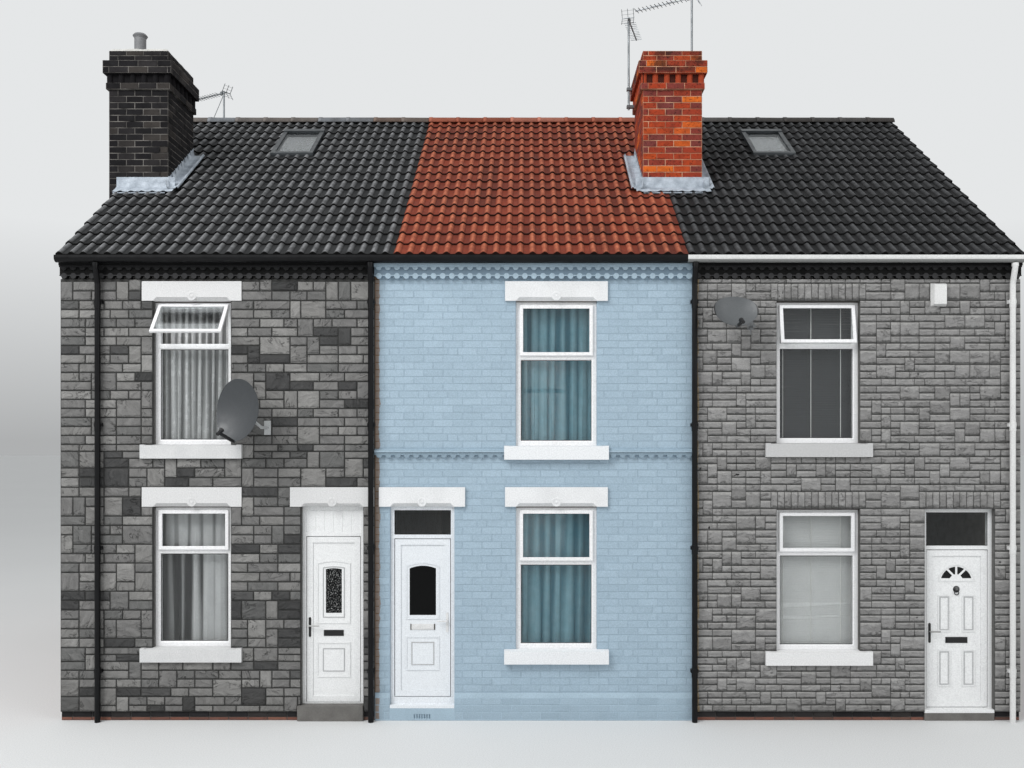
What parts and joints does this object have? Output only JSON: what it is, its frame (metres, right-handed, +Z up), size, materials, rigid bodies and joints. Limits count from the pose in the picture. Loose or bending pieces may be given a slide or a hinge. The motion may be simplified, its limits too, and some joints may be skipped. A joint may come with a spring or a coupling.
{
  "type": "terraced house row",
  "caption": "Terraced house row with stone-clad and painted brick fronts, a pitched tiled roof, corbelled chimney stacks and front doors that open inwards.",
  "frame": {"origin": "middle of the row's length and of the houses' depth, on the ground", "axes": "+X along the row to the right seen from the street, +Y from the street front towards the back, +Z up"},
  "size_m": [11.9165, 9.2568, 9.8423],
  "materials": {
    "brick_red": "fired clay brick",
    "brick_blue": "brick painted pale blue",
    "brick_black": "brick painted black",
    "brick_orange": "weathered orange-red brick",
    "concrete": "cast concrete",
    "timber": "sawn timber",
    "plaster": "plaster",
    "tile_dark": "dark concrete roof tiles",
    "tile_red": "red roof tiles",
    "lead": "weathered lead",
    "mortar": "mortar with a steel flue",
    "board_black": "black painted board",
    "plastic_black": "satin",
    "plastic_white": "satin white",
    "stone_left": "rough grey stone facing",
    "stone_right": "split grey stone facing",
    "stone_white": "painted white",
    "stone_step": "worn stone",
    "glass": "clear",
    "glass_dark": "obscured",
    "metal_dark": "dark grey",
    "metal_grey": "mid grey",
    "metal_black": "black",
    "aluminium": "weathered",
    "fabric_curtain": "curtain cloth",
    "blind_slats": "painted slats"
  },
  "bodies": {
    "root": {"front_wall_left": "brick_red", "front_wall_middle": "brick_blue", "front_wall_right": "brick_red", "door_piers": "brick_blue", "walls_over_doors": "brick_blue", "back_wall_left": "brick_red", "back_wall_middle": "brick_red", "back_wall_right": "brick_red", "party_walls": "brick_red", "chimney_breast": "brick_red", "ground_floors": "concrete", "upper_floors": "timber", "ceilings": "plaster", "eaves_timbers": "timber", "roof_front_left": "tile_dark", "roof_front_middle": "tile_red", "roof_front_right": "tile_dark", "roof_back": "tile_dark", "ridge_tiles": "tile_dark", "chimney_stack_left": "brick_black", "chimney_stack_right": "brick_orange", "lead_flashings": "lead", "flue_and_flaunching": "mortar", "fascia_boards": "board_black", "gutters_black": "plastic_black", "gutter_white": "plastic_white", "downpipes_black": "plastic_black", "downpipe_white": "plastic_white", "eaves_band_left": "brick_black", "eaves_band_middle": "brick_blue", "eaves_band_right": "brick_black", "string_course": "brick_blue", "stone_cladding_left": "stone_left", "stone_cladding_right": "stone_right", "plinth_middle": "brick_blue", "lintels": "stone_white", "sills": "stone_white", "window_frames_front": "plastic_white", "window_frames_back": "plastic_white", "window_glass": "glass", "door_frames": "plastic_white", "back_doors": "plastic_white", "door_steps": "stone_step", "roof_windows": "metal_dark", "satellite_dishes": "metal_grey", "aerials": "aluminium", "alarm_box": "plastic_white", "curtains": "fabric_curtain", "blinds": "blind_slats"},
    "left_door": {"door_leaf_left": "plastic_white", "door_glass_left": "glass_dark", "door_furniture_left": "metal_black"},
    "middle_door": {"door_leaf_middle": "plastic_white", "door_glass_middle": "glass_dark", "door_furniture_middle": "metal_black"},
    "right_door": {"door_leaf_right": "plastic_white", "door_glass_right": "glass_dark", "door_furniture_right": "metal_black"}
  },
  "joints": [
    {"name": "left_door_hinge", "type": "hinge", "parent": "root", "child": "left_door", "pos_m": [-2.2285, -4.015, 1.2], "axis": [0, 0, -1], "range_deg": [0, 85]},
    {"name": "middle_door_hinge", "type": "hinge", "parent": "root", "child": "middle_door", "pos_m": [-1.784, -4.03, 1.2], "axis": [0, 0, 1], "range_deg": [0, 90]},
    {"name": "right_door_hinge", "type": "hinge", "parent": "root", "child": "right_door", "pos_m": [5.498, -4.025, 1.2], "axis": [0, 0, -1], "range_deg": [0, 90]}
  ]
}
